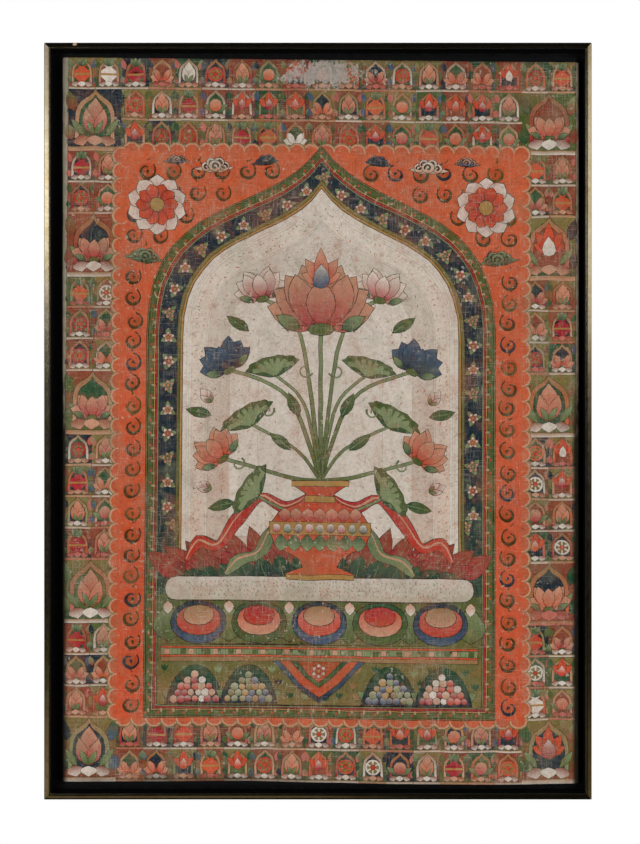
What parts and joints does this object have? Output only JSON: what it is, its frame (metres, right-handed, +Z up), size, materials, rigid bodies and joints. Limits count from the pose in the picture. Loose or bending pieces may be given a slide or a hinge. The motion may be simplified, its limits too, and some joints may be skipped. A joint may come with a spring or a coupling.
{
  "type": "thangka cloth painting in a tray frame",
  "caption": "Painted cotton hanging, upright, stretched over a panel and set in a black tray frame with a narrow gilt lip and an open recess round the cloth.",
  "frame": {"origin": "middle of the top rail's back face, where the frame bears on a wall", "axes": "+Z up, +X to the right as seen from the front, the picture faces -Y and its back lies in y = 0"},
  "size_m": [0.565, 0.035, 0.781],
  "materials": {
    "painted_cotton": "matt distemper colours on primed cotton, cracked and rubbed",
    "black_board": "matt black on the face and sides, bare board behind",
    "black_wood": "satin black paint, the lip gilt"
  },
  "bodies": {
    "root": {"painted_cloth": "painted_cotton", "mount_panel": "black_board", "rail_top": "black_wood", "rail_bottom": "black_wood", "rail_left": "black_wood", "rail_right": "black_wood"}
  },
  "joints": []
}
